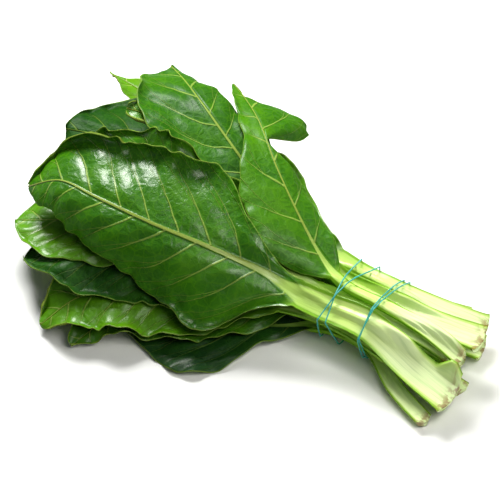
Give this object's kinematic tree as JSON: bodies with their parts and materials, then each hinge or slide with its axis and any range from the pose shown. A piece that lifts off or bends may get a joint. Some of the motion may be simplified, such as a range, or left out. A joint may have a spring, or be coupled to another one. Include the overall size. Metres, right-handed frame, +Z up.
{
  "type": "chard bunch",
  "caption": "Bunch of fresh green chard lying on its side: broad puckered leaves fanned out over pale flat stalks, held by thin elastic bands.",
  "frame": {"origin": "on the surface the bunch lies on, under the middle of its bounding box", "axes": "+X along the bunch to the cut ends of the stalks, +Y across it, +Z up"},
  "size_m": [0.4476, 0.282, 0.1169],
  "materials": {
    "leaf": "waxy fresh leaf, pale green-white stalk",
    "elastic": "matt turquoise elastic"
  },
  "bodies": {
    "root": {"ground_leaf": "leaf", "low_front_leaf": "leaf", "low_back_leaf": "leaf", "corner_leaf": "leaf", "left_leaf": "leaf", "far_left_leaf": "leaf", "back_leaf": "leaf", "curled_leaf": "leaf", "top_leaf": "leaf", "under_front_leaf": "leaf", "right_leaf": "leaf", "front_leaf": "leaf", "upper_band": "elastic", "lower_band": "elastic"}
  },
  "joints": []
}
